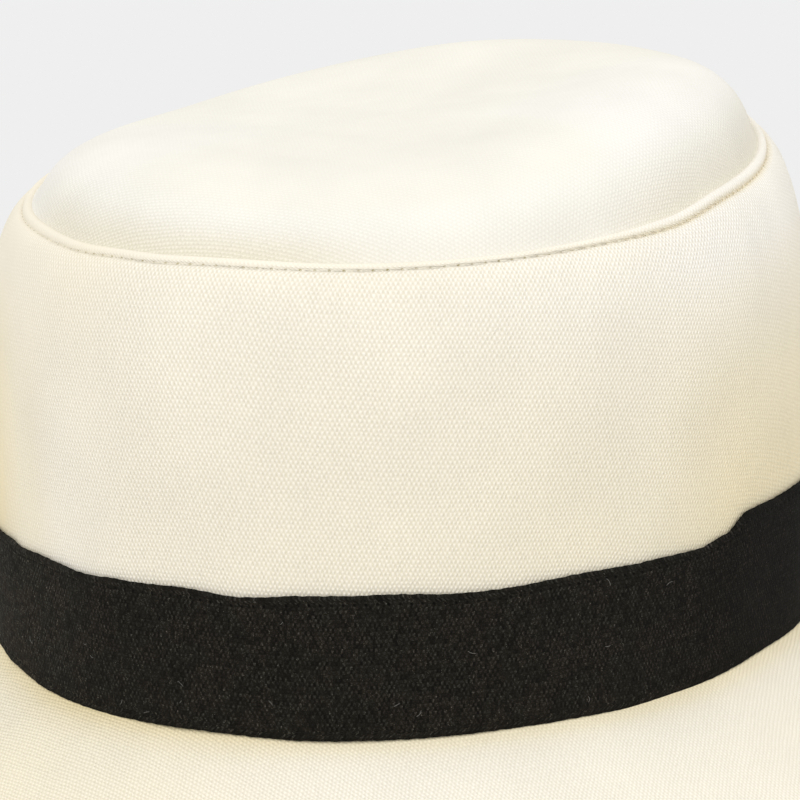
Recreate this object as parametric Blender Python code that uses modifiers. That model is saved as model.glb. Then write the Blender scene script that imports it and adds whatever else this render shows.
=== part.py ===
"""Canvas sun hat: an oval crown of side wall and puffed tip, a black band and a sloping brim.

The hat lies as it rests by itself, on the hem of its brim. The front faces -Y, +Z is up, and the
origin is on the floor under the middle of the brim. Lengths are metres. An angle runs round the
hat from the front towards +X.
"""
import math
from collections import namedtuple

import bmesh
import bpy

# Ovals, front to back and side to side, each over the outer face of the side wall.
CROWN_LENGTH = 0.1994
CROWN_WIDTH = 0.1728
TIP_LENGTH = 0.1830
TIP_WIDTH = 0.1530

# Crown: the wall from the lower edge of the band to the stitches, and what rises from there.
SIDE_HEIGHT = 0.0975
BACK_RISE = 0.0038
END_RISE = 0.0015
PUFF = 0.0122
BAND_HEIGHT = 0.0300

# Brim, measured along its slope from the crown to the edge.
BRIM_WIDTH = 0.0720
BRIM_SLOPE = math.radians(25)
HEM_WIDTH = 0.0050
BRIM_LIFT = 0.0050

# Cloth, the seam allowances turned inside, and the gap between pieces that touch.
CANVAS = 0.0010
BAND_CLOTH = 0.0010
BRIM_CLOTH = 0.0020
FOLD_RADIUS = 0.0015
TIP_TURN = 0.0050
BRIM_TURN = 0.0070
GAP = 0.0003

SEGMENTS = 72
FOLD_STEPS = 4
REST_ZONES = 3
REST_SHARE = 0.25
BAND_STEPS = 3

# Side wall rows: height as a share of the wall, flare as a share of crown minus tip oval.
WallRow = namedtuple("WallRow", "height flare")
WALL_ROWS = (
    WallRow(height=0.00, flare=1.00),
    WallRow(height=0.31, flare=0.96),
    WallRow(height=0.52, flare=0.95),
    WallRow(height=0.70, flare=0.88),
    WallRow(height=0.85, flare=0.73),
    WallRow(height=0.94, flare=0.50),
    WallRow(height=0.98, flare=0.25),
    WallRow(height=1.00, flare=0.00),
)

# Brim rows: reach and drop as shares of the whole brim's, both from the crown outwards.
BrimRow = namedtuple("BrimRow", "reach drop")
BRIM_ROWS = (
    BrimRow(reach=0.00, drop=0.00),
    BrimRow(reach=0.16, drop=0.18),
    BrimRow(reach=0.38, drop=0.41),
    BrimRow(reach=0.62, drop=0.66),
    BrimRow(reach=0.84, drop=0.88),
    BrimRow(reach=1.00, drop=1.00),
)

# Puffed tip: reach from the middle as a share of the tip's oval.
TIP_REACHES = (0.985, 0.955, 0.91, 0.84, 0.73, 0.57, 0.34)

# How flat the puff is on top, how it leans, stands at its shoulder and waves three times round.
PUFF_FLATNESS = 7.0
PUFF_LEAN_SIDE = 0.70
PUFF_LEAN_FRONT = 0.29
PUFF_SHOULDER = 0.92
PUFF_WAVE = -0.25

# Where the band's upper edge wanders: angle in degrees, rise as a share of the band's height.
EdgeRow = namedtuple("EdgeRow", "angle rise")
BAND_EDGE_ROWS = (
    EdgeRow(angle=-42, rise=-0.045),
    EdgeRow(angle=-27, rise=0.012),
    EdgeRow(angle=-14, rise=-0.014),
    EdgeRow(angle=14, rise=0.020),
    EdgeRow(angle=48, rise=-0.010),
    EdgeRow(angle=77, rise=-0.045),
    EdgeRow(angle=92, rise=0.040),
    EdgeRow(angle=120, rise=0.000),
    EdgeRow(angle=165, rise=0.015),
    EdgeRow(angle=215, rise=-0.015),
    EdgeRow(angle=265, rise=0.012),
)

# Heights over the floor that follow from the sizes above.
brim_reach = (BRIM_WIDTH - HEM_WIDTH) * math.cos(BRIM_SLOPE)
brim_drop = (BRIM_WIDTH - HEM_WIDTH) * math.sin(BRIM_SLOPE)
corner_level = BRIM_CLOTH + brim_drop
wall_foot = corner_level + GAP
first_slope = (brim_drop * BRIM_ROWS[1].drop) / (brim_reach * BRIM_ROWS[1].reach)
band_foot = corner_level - (CANVAS + 2 * GAP) * first_slope + GAP

ANGLES = [math.tau * step / SEGMENTS for step in range(SEGMENTS)]


def rim_level(angle):
    """Height of the stitches under the tip: a little higher at the back, and at both ends."""
    return band_foot + SIDE_HEIGHT - BACK_RISE * math.cos(angle) + END_RISE * math.cos(2 * angle)


def ring(length, width, level_at):
    """One oval of the given length and width, each point at the height level_at(angle)."""
    return [(width / 2 * math.sin(a), -length / 2 * math.cos(a), level_at(a)) for a in ANGLES]


def grown_ring(length, width, outward, level_at):
    """The same oval moved outward by a distance all round."""
    return ring(length + 2 * outward, width + 2 * outward, level_at)


def loft(name, rings, middle=None):
    """An open sheet through rings of equal count, closed to a middle point where one is given."""
    sheet = bmesh.new()
    rows = [[sheet.verts.new(point) for point in points] for points in rings]
    for lower, upper in zip(rows, rows[1:]):
        for i in range(SEGMENTS):
            j = (i + 1) % SEGMENTS
            sheet.faces.new((lower[i], lower[j], upper[j], upper[i]))
    if middle is not None:
        tip = sheet.verts.new(middle)
        last = rows[-1]
        for i in range(SEGMENTS):
            sheet.faces.new((last[i], last[(i + 1) % SEGMENTS], tip))
    mesh = bpy.data.meshes.new(name)
    sheet.to_mesh(mesh)
    sheet.free()
    mesh.shade_smooth()
    return mesh


def cloth_piece(name, mesh, thickness, material, collection):
    """A sheet given its cloth thickness inwards from the face that shows."""
    piece = bpy.data.objects.new(name, mesh)
    collection.objects.link(piece)
    mesh.materials.append(material)
    wall = piece.modifiers.new("Cloth", "SOLIDIFY")
    wall.thickness = thickness
    wall.offset = -1
    wall.use_even_offset = True
    wall.use_rim = True
    return piece


def cloth_material(name, colour, roughness):
    """A plain dull cloth."""
    material = bpy.data.materials.new(name)
    material.use_nodes = True
    shader = material.node_tree.nodes["Principled BSDF"]
    shader.inputs["Base Color"].default_value = (*colour, 1)
    shader.inputs["Roughness"].default_value = roughness
    shader.inputs["Metallic"].default_value = 0
    return material


def wall_oval(flare):
    """Length and width of the side wall where it has the given share of its flare."""
    length = TIP_LENGTH + flare * (CROWN_LENGTH - TIP_LENGTH)
    width = TIP_WIDTH + flare * (CROWN_WIDTH - TIP_WIDTH)
    return length, width


def wall_flare_at(height):
    """Flare at any share of the wall's height, straight between the rows."""
    for low, high in zip(WALL_ROWS, WALL_ROWS[1:]):
        if height <= high.height:
            share = (height - low.height) / (high.height - low.height)
            return low.flare + share * (high.flare - low.flare)
    return WALL_ROWS[-1].flare


def side_rings():
    """Side wall from its foot up to the stitches, over a half-round fold and down inside."""
    rings = []
    for row in WALL_ROWS:
        length, width = wall_oval(row.flare)
        rings.append(ring(length, width, lambda a: wall_foot + row.height * (rim_level(a) - wall_foot)))
    for step in range(1, FOLD_STEPS + 1):
        turn = math.pi * step / FOLD_STEPS
        outward = -FOLD_RADIUS * (1 - math.cos(turn))
        rise = FOLD_RADIUS * math.sin(turn)
        rings.append(grown_ring(TIP_LENGTH, TIP_WIDTH, outward, lambda a: rim_level(a) + rise))
    inside = -2 * FOLD_RADIUS
    rings.append(grown_ring(TIP_LENGTH, TIP_WIDTH, inside, lambda a: rim_level(a) - TIP_TURN))
    return rings


def puff_at(reach, angle):
    """Rise of the tip over its edge: flat on top, steep at the edge, fuller towards +X."""
    fall = 1 - reach ** PUFF_FLATNESS
    lean = 1 + PUFF_SHOULDER * reach ** 2
    lean += reach * (PUFF_LEAN_SIDE * math.sin(angle) + PUFF_LEAN_FRONT * math.cos(angle))
    lean += PUFF_WAVE * reach ** 3 * math.sin(3 * angle)
    return PUFF * fall * lean


def tip_level(reach, angle):
    """Height of the tip: the edge's own rises fade towards the middle, and the puff stands on them."""
    edge = SIDE_HEIGHT + FOLD_RADIUS / 2
    edge -= BACK_RISE * reach * math.cos(angle)
    edge += END_RISE * reach ** 2 * math.cos(2 * angle)
    return band_foot + edge + puff_at(reach, angle)


def tip_rings():
    """Tip from its turned-down edge up to the corner and inwards, a gap inside the wall's fold."""
    outward = -2 * FOLD_RADIUS - GAP
    length = TIP_LENGTH + 2 * outward
    width = TIP_WIDTH + 2 * outward
    rings = [ring(length, width, lambda a: rim_level(a) - TIP_TURN)]
    for reach in (1.0, *TIP_REACHES):
        rings.append(ring(length * reach, width * reach, lambda a: tip_level(reach, a)))
    return rings


def band_edge_rise(angle):
    """Rise of the band's upper edge, eased between its rows and closed round the hat."""
    degrees = math.degrees(angle)
    first = BAND_EDGE_ROWS[0]
    rows = [*BAND_EDGE_ROWS, EdgeRow(angle=first.angle + 360, rise=first.rise)]
    if degrees > rows[-1].angle:
        degrees -= 360
    for low, high in zip(rows, rows[1:]):
        if degrees <= high.angle:
            share = (degrees - low.angle) / (high.angle - low.angle)
            eased = (1 - math.cos(math.pi * share)) / 2
            return BAND_HEIGHT * (low.rise + eased * (high.rise - low.rise))
    return 0.0


def beside_wall(angle, level, outward):
    """A point the given distance outside the side wall, at a level over the floor."""
    share = (level - wall_foot) / (rim_level(angle) - wall_foot)
    length, width = wall_oval(wall_flare_at(share))
    along = length / 2 + outward
    across = width / 2 + outward
    return across * math.sin(angle), -along * math.cos(angle), level


def band_rings():
    """Band round the foot of the wall, following its flare a gap outside it."""
    outward = GAP + BAND_CLOTH
    rings = []
    for step in range(BAND_STEPS + 1):
        share = step / BAND_STEPS
        levels = [band_foot + share * (BAND_HEIGHT + band_edge_rise(a)) for a in ANGLES]
        rings.append([beside_wall(a, level, outward) for a, level in zip(ANGLES, levels)])
    return rings


def hem_lift(angle):
    """Lift of the brim's edge off the floor between the zones where it rests."""
    wave = (1 - math.cos(REST_ZONES * angle)) / 2
    share = max(0.0, wave - REST_SHARE) / (1 - REST_SHARE)
    return BRIM_LIFT * share * share * (3 - 2 * share)


def brim_rings():
    """Brim from its flat hem up the slope to the crown, and up inside the wall's foot."""
    inner = -(CANVAS + GAP)
    rings = []
    for share in (1.0, 0.5):
        outward = inner + brim_reach + HEM_WIDTH * share
        rings.append(grown_ring(CROWN_LENGTH, CROWN_WIDTH, outward, lambda a: BRIM_CLOTH + hem_lift(a)))
    for row in reversed(BRIM_ROWS):
        outward = inner + brim_reach * row.reach
        level = corner_level - brim_drop * row.drop
        lift = row.reach ** 2
        rings.append(grown_ring(CROWN_LENGTH, CROWN_WIDTH, outward, lambda a: level + lift * hem_lift(a)))
    rings.append(grown_ring(CROWN_LENGTH, CROWN_WIDTH, inner, lambda a: corner_level + BRIM_TURN))
    return rings


def build():
    """Clear the scene and make the four pieces of the hat."""
    for old in list(bpy.data.objects):
        bpy.data.objects.remove(old, do_unlink=True)
    hat = bpy.data.collections.new("canvas_sun_hat")
    bpy.context.scene.collection.children.link(hat)
    side_cream = cloth_material("side_canvas", (0.86, 0.81, 0.68), 0.90)
    tip_cream = cloth_material("tip_canvas", (0.88, 0.84, 0.73), 0.90)
    brim_cream = cloth_material("brim_canvas", (0.85, 0.80, 0.67), 0.90)
    black = cloth_material("band_cloth", (0.014, 0.012, 0.010), 0.85)
    middle = (0, 0, tip_level(0, 0))
    cloth_piece("crown_side", loft("crown_side", side_rings()), CANVAS, side_cream, hat)
    cloth_piece("crown_tip", loft("crown_tip", tip_rings(), middle), CANVAS, tip_cream, hat)
    cloth_piece("hat_band", loft("hat_band", band_rings()), BAND_CLOTH, black, hat)
    cloth_piece("brim", loft("brim", brim_rings()), BRIM_CLOTH, brim_cream, hat)


build()
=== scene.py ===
"""A brimmed sun hat of cream plain-weave canvas, with a rolled, stitched tip seam and a black cloth band.

Lengths are metres, +Z is up and the front of the hat is at -Y. An angle round the hat is measured
from its front towards +X. Every cloth piece is a grid of rows up the piece and columns round the hat.
"""

import math

import bpy
import numpy as np
from mathutils import Matrix, Vector


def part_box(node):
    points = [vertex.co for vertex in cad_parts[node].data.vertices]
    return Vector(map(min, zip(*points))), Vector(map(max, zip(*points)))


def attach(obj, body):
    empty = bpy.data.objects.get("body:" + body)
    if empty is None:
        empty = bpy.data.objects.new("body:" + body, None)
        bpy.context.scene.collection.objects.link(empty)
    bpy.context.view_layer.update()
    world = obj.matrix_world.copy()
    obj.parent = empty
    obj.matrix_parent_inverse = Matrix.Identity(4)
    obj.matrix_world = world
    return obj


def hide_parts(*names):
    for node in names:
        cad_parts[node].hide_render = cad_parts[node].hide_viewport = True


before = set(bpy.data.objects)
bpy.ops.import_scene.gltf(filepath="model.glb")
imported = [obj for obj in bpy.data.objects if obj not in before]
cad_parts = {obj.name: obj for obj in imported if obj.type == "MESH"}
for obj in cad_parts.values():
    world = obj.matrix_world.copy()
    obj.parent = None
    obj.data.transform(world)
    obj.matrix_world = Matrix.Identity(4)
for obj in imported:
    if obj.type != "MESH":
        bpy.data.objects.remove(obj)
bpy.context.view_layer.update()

bl_info = {
    "name": "Canvas Sun Hat",
    "version": (1, 0, 0),
    "blender": (4, 5, 0),
    "location": "View3D > Sidebar > Sun Hat",
    "description": "Makes a stitched canvas sun hat with a black band",
    "category": "Add Mesh",
}

SIDE_LOW, SIDE_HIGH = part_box("crown_side")
TIP_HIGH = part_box("crown_tip")[1]
BAND_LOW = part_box("hat_band")[0]
BRIM_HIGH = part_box("brim")[1]
MM = 0.001
ROUND = math.tau

SIDE_COLUMNS = 940
TIP_COLUMNS = 720
BAND_COLUMNS = 720
BRIM_COLUMNS = 720
# Rows in the half circle that rounds a cloth's edge.
EDGE_ROWS = 3
SHARP_EDGE = math.radians(70.0)


def length(label, default, about):
    """A length setting in metres."""
    return bpy.props.FloatProperty(
        name=label, description=about, default=default, min=0.0, precision=5, unit="LENGTH")


def number(label, default, about):
    """A plain number setting."""
    return bpy.props.FloatProperty(name=label, description=about, default=default, precision=4)


def angle(label, default, about):
    """An angle setting, given in degrees."""
    return bpy.props.FloatProperty(
        name=label, description=about, default=math.radians(default), precision=4, unit="ROTATION")


def colour(label, default, about):
    """A colour setting in linear light."""
    return bpy.props.FloatVectorProperty(
        name=label, description=about, default=default, size=3, min=0.0, max=1.0, subtype="COLOR")


class HatSizes(bpy.types.PropertyGroup):
    """Sizes of the hat that the outer pieces are worked out from."""

    side_height: length("Side height", 0.0975, "From the band's lower edge to the seam, at the sides")
    back_rise: length("Back rise", 0.0038, "How much higher the tip seam is behind, and lower in front")
    end_rise: length("End rise", 0.0015, "How much the tip seam rises at both ends and dips at the sides")
    puff: length("Puff", 0.0122, "How far the tip swells above its seam")
    band_height: length("Band height", 0.030, "The band's width, edge to edge")
    brim_slope: angle("Brim slope", 25.0, "How steeply the brim falls away")
    hem_width: length("Hem width", 0.005, "Flat strip along the brim's edge")
    brim_lift: length("Brim lift", 0.005, "How far the hem waves up between the places where it rests")
    canvas: length("Canvas", 0.0010, "Thickness of the canvas")
    band_cloth: length("Band cloth", 0.0010, "Thickness of the folded band")
    brim_cloth: length("Brim cloth", 0.0020, "Thickness of the two-layer brim")
    fold_radius: length("Fold radius", 0.0015, "Radius of the roll along the tip seam")
    tip_turn: length("Tip turning", 0.0050, "Cloth turned in below the tip seam")
    brim_turn: length("Brim turning", 0.0070, "Cloth turned up inside the crown")
    gap: length("Gap", 0.0003, "Clearance between neighbouring pieces")


class HatStitches(bpy.types.PropertyGroup):
    """Sizes of the sewing."""

    tip_stitch: length("Tip stitch", 0.0029, "Length of a stitch along the tip seam")
    band_stitch: length("Band stitch", 0.0023, "Length of a stitch along the band")
    hem_stitch: length("Hem stitch", 0.0030, "Length of a stitch along the brim's hem")
    thread: length("Thread", 0.00032, "Thickness of the sewing thread")
    band_margin: length("Band margin", 0.0014, "From the band's edge to its row of stitches")
    # Painted shade: the dark mark at a needle hole stands for the shade in its pit.
    hole: length("Needle hole", 0.00055, "Width of the dark mark at each needle hole")


class HatWeave(bpy.types.PropertyGroup):
    """Thread spacings of the cloths."""

    canvas_column: length("Canvas column", 0.00048, "Spacing of the canvas threads that run up the side")
    canvas_row: length("Canvas row", 0.00092, "Spacing of the canvas threads that run round the side")
    band_column: length("Band column", 0.00050, "Spacing of the band threads that run across it")
    band_row: length("Band row", 0.00088, "Spacing of the band threads that run along it")
    canvas_relief: length("Canvas relief", 0.00009, "Height of the canvas threads over the hollows")
    band_relief: length("Band relief", 0.00008, "Height of the band threads over the hollows")


class HatColours(bpy.types.PropertyGroup):
    """Colours of the cloths and threads."""

    # The thread colours are the cloths' own; each hollow colour is a darker copy of its thread colour,
    # painted shade between the threads.
    side: colour("Side canvas", (0.871, 0.828, 0.745), "Top of the canvas threads on the side")
    side_gap: colour("Side hollow", (0.713, 0.661, 0.538), "Hollows between the threads on the side")
    # Painted light: the tip's canvas is a whiter, less yellow copy of the side's, for the paler look of
    # its lit top.
    tip: colour("Tip canvas", (0.836, 0.822, 0.785), "Top of the canvas threads on the tip")
    tip_gap: colour("Tip hollow", (0.712, 0.691, 0.630), "Hollows between the threads on the tip")
    brim: colour("Brim canvas", (0.896, 0.858, 0.784), "Top of the canvas threads on the brim")
    brim_gap: colour("Brim hollow", (0.732, 0.687, 0.588), "Hollows between the threads on the brim")
    # Painted shade: the canvas is tinted towards this where its painted light map stands for shade.
    shade_tint: colour("Canvas shade tint", (0.945, 0.895, 0.745), "What aged canvas is tinted by")
    tip_shade: colour("Tip shade", (0.91, 0.86, 0.71), "What the canvas at the tip's seam is tinted by")
    band: colour("Band cloth", (0.0300, 0.0285, 0.0245), "Top of the band's threads")
    band_gap: colour("Band hollow", (0.0085, 0.0074, 0.0050), "Hollows between the band's threads")
    cream_thread: colour("Cream thread", (0.87, 0.83, 0.71), "Thread of the tip seam and the hem")
    black_thread: colour("Black thread", (0.011, 0.010, 0.008), "Thread of the band's stitches")
    # Painted shade: the mark at a needle hole stands for the shade in its pit.
    needle_hole_shade: colour("Needle hole", (0.44, 0.37, 0.19), "Dark mark where the thread enters the canvas")
    lint: colour("Lint", (0.27, 0.26, 0.24), "Stray fibres caught on the band")


class HatStage(bpy.types.PropertyGroup):
    """The camera, the lights and the floor."""

    azimuth: angle("Camera azimuth", 32.082, "Round the hat from its front")
    elevation: angle("Camera elevation", 17.593, "Above the level of the band's lower edge")
    distance: length("Camera distance", 0.89349, "From the band's lower edge on the hat's axis")
    aim_right: number("Aim across", -0.00143, "Where the camera points, towards +X")
    aim_back: number("Aim back", -0.00090, "Where the camera points, towards +Y")
    aim_up: length("Aim height", 0.04527, "Where the camera points, above the band's lower edge")
    roll: angle("Camera roll", -1.325, "Turn of the camera about its own line of sight")
    lens: number("Lens", 177.506, "Focal length in millimetres on a 36 mm sensor")
    sky: number("Sky light", 0.95, "Brightness of the even light from all round")
    key: number("Key light", 1.00, "Strength of the wide, soft lamp above the camera")
    key_azimuth: angle("Key azimuth", 14.0, "Where the key lamp stands, round the hat from its front")
    key_elevation: angle("Key elevation", 38.0, "How high the key lamp stands")
    fill: number("Fill light", 0.42, "Strength of the wide, soft lamp to the right of the camera")
    fill_azimuth: angle("Fill azimuth", 100.0, "Where the fill lamp stands, round the hat from its front")
    fill_elevation: angle("Fill elevation", 50.0, "How high the fill lamp stands")
    spread: angle("Lamp spread", 40.0, "How wide each soft lamp looks from the hat")
    floor: colour("Floor", (0.692, 0.692, 0.692), "The plain floor")


def settings(group):
    """One of the hat's groups of settings on the current scene."""
    return getattr(bpy.context.scene, group)


def table(names, *rows):
    """The columns of a table by name. The first is the angle round the hat in degrees."""
    return dict(zip(names.split(), np.array(rows, float).T))


# The rolled seam round the tip. In millimetres: half the roll's width, its height, the depth of the
# stitched groove, and how much each stitch puckers it. In degrees: where on the roll the tip meets it.
# The last column is how plainly the painted shade at the needle holes shows.
SEAM_ROWS = table(
    "angle wide roll groove meet pucker marks",
    (-150, 1.3, 1.5, 0.25, 115, 0.25, 0.2), (-60, 1.5, 1.8, 0.06, 115, 0.08, 0.1),
    (-35, 1.4, 1.7, 0.05, 115, 0.08, 0.5), (-10, 1.2, 1.6, 0.03, 110, 0.06, 1.0),
    (12, 1.1, 1.5, 0.02, 104, 0.05, 1.0), (28, 1.0, 1.3, 0.02, 100, 0.05, 1.0),
    (50, 0.9, 1.1, 0.04, 100, 0.12, 0.9), (65, 1.1, 1.2, 0.18, 102, 0.35, 0.4),
    (80, 1.4, 1.8, 0.35, 112, 0.55, 0.1), (100, 1.5, 2.0, 0.4, 115, 0.55, 0.1),
    (130, 1.4, 1.7, 0.35, 115, 0.4, 0.2), (180, 1.3, 1.5, 0.4, 115, 0.3, 0.5),
)
# How far the hat leans out of true at the side's foot, middle and seam, in millimetres.
SWELL_ROWS = table(
    "angle foot middle seam",
    (-150, 0.0, 0.0, 0.0), (-105, 2.0, 1.8, 0.9), (-75, 3.0, 3.0, 1.7), (-50, 2.2, 2.4, 1.2),
    (-22, 0.0, 0.0, 0.0), (70, 0.0, 0.0, 0.0), (105, 0.0, 0.9, 0.2), (135, 0.3, 0.9, 0.2),
    (175, 0.0, 0.0, 0.0),
)
# How steep the tip's shoulder is, from soft, 0, to steep, 1.
TIP_ROWS = table(
    "angle steep",
    (-150, 0.2), (-110, 0.4), (-62, 0.25), (-40, 0.25), (-10, 0.2), (60, 0.2), (95, 0.7),
    (140, 0.5), (180, 0.3),
)
# How far the tip seam and the band's two edges wander from their own level, in millimetres.
SEAM_WANDER = table(
    "angle rise",
    (-60, 0.0), (-38, -0.4), (-21, -0.8), (-5, -0.1), (10, 0.5), (35, 0.0), (64, 0.1), (80, -0.4),
    (94, 0.9), (120, 0.3), (170, 0.0), (240, 0.2),
)
BAND_TOP_WANDER = table(
    "angle rise",
    (-60, 1.0), (-52, -0.2), (-44, -1.6), (-37, -1.4), (-32, -1.2), (-29.5, -1.8), (-24, -1.45),
    (-15, -1.6), (-4, -0.5), (6, 0.0), (13, -0.75), (22, 0.0), (32, 0.0), (43, -0.9), (57, -0.7),
    (69, -1.3), (78, -2.0), (82.5, -1.1), (88, 2.0), (98, 1.3), (110, 0.5), (150, -0.3), (200, 0.4),
    (250, 0.3),
)
BAND_FOOT_WANDER = table(
    "angle rise",
    (-60, 3.4), (-48, 3.3), (-39, 2.8), (-32, 1.8), (-22, 0.4), (-10, 0.2), (6, 1.0), (21, 0.3),
    (42, 0.2), (55, -0.1), (70, -1.1), (91, 0.1), (106, -1.0), (150, 0.2), (200, -0.2), (250, 1.2),
)
# Painted light and shade: how pale the side is near its foot (low) and at its top (high), and the
# brim, from the shade tint, 0, to its own colour, 1, or past them into painted light. Then how plainly
# the side's weave shows, and how much of that the roll loses.
PALE_ROWS = table(
    "angle low high brim plain bare",
    (-150, 0.4, 0.8, 0.5, 0.8, 0.7), (-75, 0.0, 0.7, 0.5, 0.6, 0.7),
    (-40, -0.3, 0.8, 0.5, 0.3, 0.8), (-28, 0.5, 0.8, 0.4, 0.6, 0.8), (-17, 1.0, 0.7, 0.3, 0.8, 0.8),
    (0, 0.8, 0.9, 0.4, 1.0, 0.8), (32, 0.7, 0.9, 0.8, 1.0, 0.8), (65, 0.5, 1.1, 0.8, 1.0, 0.6),
    (88, -0.2, 1.35, 0.7, 1.0, 0.45), (115, -0.2, 1.35, 0.6, 0.9, 0.45),
    (180, 0.4, 0.8, 0.6, 0.9, 0.7),
)
# Painted sheen and shade: how light the band is round the hat, as a multiple of its own colour.
BAND_SHINE_ROWS = table(
    "angle light",
    (-100, 1.0), (-40, 1.7), (-26, 1.55), (-8, 1.1), (60, 1.05), (95, 0.5), (150, 1.0),
)
# How far the tip's own colour gives way to its shade, beside its seam (deep) and further in (middle).
VALLEY_ROWS = table(
    "angle deep middle",
    (-150, 0.3, 0.26), (-80, 0.1, 0.2), (-50, 0.1, 0.1), (-25, 0.7, 0.1), (-10, 0.8, 0.26),
    (15, 0.8, 0.26), (40, 0.35, 0.26), (65, 0.35, 0.22), (85, 0.6, 0.0), (120, 0.6, 0.05),
    (160, 0.3, 0.26),
)

# Waves of the side: size in millimetres, waves round the hat, drift with height and start in radians.
SIDE_WAVES = [
    (0.30, 3.0, 0.0, 0.6), (0.22, 5.0, 2.2, -1.1), (0.12, 9.0, 3.0, 0.4), (0.20, 13.0, 8.0, 1.0),
    (0.14, 19.0, -7.0, 0.0),
]
PUCKER_WAVES = 37.0
PUCKER_FADE = 0.12

# The tip's turned-in edge stands off the roll by the clearance and ends pressed into its crest.
TIP_CLEARANCE = 0.05 * MM
TIP_PRESS = 0.10 * MM
TIP_START = 0.022
TIP_EDGE_BLEND = 0.05
TIP_DIMPLE = 0.12 * MM


def bell(distance, width):
    """1 at no distance, falling as the exponential of minus the square of distance over width."""
    return np.exp(-(distance / width) ** 2)


def steps(count, skip=0):
    """A column of even steps from 0 to 1, without the first few."""
    return np.linspace(0.0, 1.0, count)[skip:, None]


def unit(vectors):
    """Vectors brought to a length of 1."""
    return vectors / np.linalg.norm(vectors, axis=-1, keepdims=True)


def round_the_hat(rows, columns, turn):
    """Columns of a table at the angles of turn, in radians, eased by half a cosine from row to row.

    The table closes on itself after a whole turn. One name gives one array, several names a list.
    """
    degrees = np.append(rows["angle"], rows["angle"][0] + 360.0)
    wanted = (np.degrees(turn) - degrees[0]) % 360.0 + degrees[0]
    place = np.clip(np.searchsorted(degrees, wanted, side="right") - 1, 0, len(degrees) - 2)
    share = (wanted - degrees[place]) / (degrees[place + 1] - degrees[place])
    eased = (1.0 - np.cos(math.pi * share)) / 2.0
    found = []
    for column in columns.split():
        values = np.append(rows[column], rows[column][0])
        found.append(values[place] * (1.0 - eased) + values[place + 1] * eased)
    return found if len(found) > 1 else found[0]


def columns_round(count):
    """Evenly spaced angles once round the hat, starting at the back, one column to each."""
    return np.linspace(-math.pi, math.pi, count, endpoint=False)[None, :]


def oval(half_length, half_width, turn, outward=0.0, level=0.0):
    """Points of a flat oval at a level, pushed outwards along the oval's own normal.

    The oval is (half width x sine, minus half length x cosine) of the angle.
    """
    towards_x = np.sin(turn) / half_width
    towards_y = -np.cos(turn) / half_length
    size = np.hypot(towards_x, towards_y)
    x = half_width * np.sin(turn) + outward * towards_x / size
    y = -half_length * np.cos(turn) + outward * towards_y / size
    return np.stack(np.broadcast_arrays(x, y, level), axis=-1)


def outward_normal(half_length, half_width, turn):
    """Unit vectors in plan, square to an oval, at the angles of turn."""
    return oval(half_length, half_width, turn, 1.0) - oval(half_length, half_width, turn)


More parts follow.
